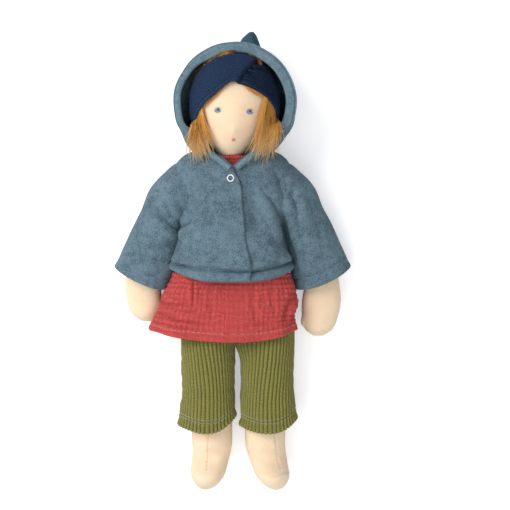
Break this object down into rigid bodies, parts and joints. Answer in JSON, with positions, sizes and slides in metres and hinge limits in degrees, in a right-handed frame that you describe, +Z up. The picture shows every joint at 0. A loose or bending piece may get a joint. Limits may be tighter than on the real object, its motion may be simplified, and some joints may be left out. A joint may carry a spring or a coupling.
{
  "type": "soft doll",
  "caption": "Soft cloth waldorf doll in hooded wool jacket, gauze tunic, rib trousers and headband, lying on its back; limbs, head, hood and jacket front move.",
  "frame": {"origin": "middle of the bounding box at the plane that the doll's back lies on", "axes": "+X to the doll's own left, +Y to its head, +Z up out of its chest"},
  "size_m": [0.2046, 0.3957, 0.081],
  "materials": {
    "fleece_blue": "felted wool fleece",
    "brim_blue": "felted wool fleece, turned edge",
    "gauze_red": "crinkled double gauze",
    "knit_olive": "rib knit",
    "jersey_skin": "cotton jersey over wool stuffing",
    "mohair": "loose mohair",
    "knit_navy": "rib knit",
    "thread_blue": "embroidery thread",
    "thread_red": "embroidery thread",
    "string_white": "wool core and linen string",
    "elastic_white": "woven elastic",
    "snap_white": "glossy"
  },
  "bodies": {
    "torso": {"torso": "jersey_skin", "tunic_bodice": "gauze_red", "tunic_skirt": "gauze_red", "trouser_seat": "knit_olive", "waist_elastic": "elastic_white", "jacket_back": "fleece_blue", "jacket_front_left": "fleece_blue", "snap_stud": "snap_white"},
    "right_front": {"jacket_front_right": "fleece_blue", "snap_cap_ring": "snap_white", "snap_socket": "snap_white"},
    "neck": {"neck_core": "string_white", "neck_string": "string_white"},
    "head": {"head": "jersey_skin", "wig_cap": "mohair", "headband": "knit_navy", "hair_left": "mohair", "hair_right": "mohair", "hair_top": "mohair", "eye_left": "thread_blue", "eye_right": "thread_blue", "mouth": "thread_red"},
    "hood": {"hood": "fleece_blue", "hood_brim": "brim_blue"},
    "left_arm": {"left_arm": "jersey_skin", "left_sleeve": "fleece_blue"},
    "right_arm": {"right_arm": "jersey_skin", "right_sleeve": "fleece_blue"},
    "left_leg": {"left_leg": "jersey_skin", "left_trouser_leg": "knit_olive"},
    "right_leg": {"right_leg": "jersey_skin", "right_trouser_leg": "knit_olive"}
  },
  "joints": [
    {"name": "head_nod", "type": "hinge", "parent": "torso", "child": "neck", "pos_m": [0.002, 0.076, 0.044], "axis": [1, 0, 0], "range_deg": [0, 8], "deforming": ["hair_left", "hair_right", "hair_top"]},
    {"name": "head_turn", "type": "hinge", "parent": "neck", "child": "head", "pos_m": [0.002, 0.076, 0.044], "axis": [0, 1, 0], "range_deg": [-30, 30], "deforming": ["hair_left", "hair_right", "hair_top"]},
    {"name": "hood_fold", "type": "hinge", "parent": "torso", "child": "hood", "pos_m": [0, 0.08167, 0.0124], "axis": [-1, 0, 0], "range_deg": [0, 100], "deforming": ["hood", "hood_brim"]},
    {"name": "jacket_opening", "type": "hinge", "parent": "torso", "child": "right_front", "pos_m": [-0.04586, -0.01698, 0.04827], "axis": [0, -1, 0], "range_deg": [0, 65], "deforming": ["hair_right"]},
    {"name": "left_shoulder", "type": "hinge", "parent": "torso", "child": "left_arm", "pos_m": [0.0423, 0.0595, 0.028], "axis": [-1, 0, 0], "range_deg": [-30, 100]},
    {"name": "right_shoulder", "type": "hinge", "parent": "torso", "child": "right_arm", "pos_m": [-0.0423, 0.0595, 0.028], "axis": [-1, 0, 0], "range_deg": [-30, 100]},
    {"name": "left_hip", "type": "hinge", "parent": "torso", "child": "left_leg", "pos_m": [0.03005, -0.0622, 0.0245], "axis": [-1, 0, 0], "range_deg": [0, 90], "deforming": ["tunic_skirt"]},
    {"name": "right_hip", "type": "hinge", "parent": "torso", "child": "right_leg", "pos_m": [-0.02145, -0.0622, 0.0245], "axis": [-1, 0, 0], "range_deg": [0, 90], "deforming": ["tunic_skirt"]}
  ]
}
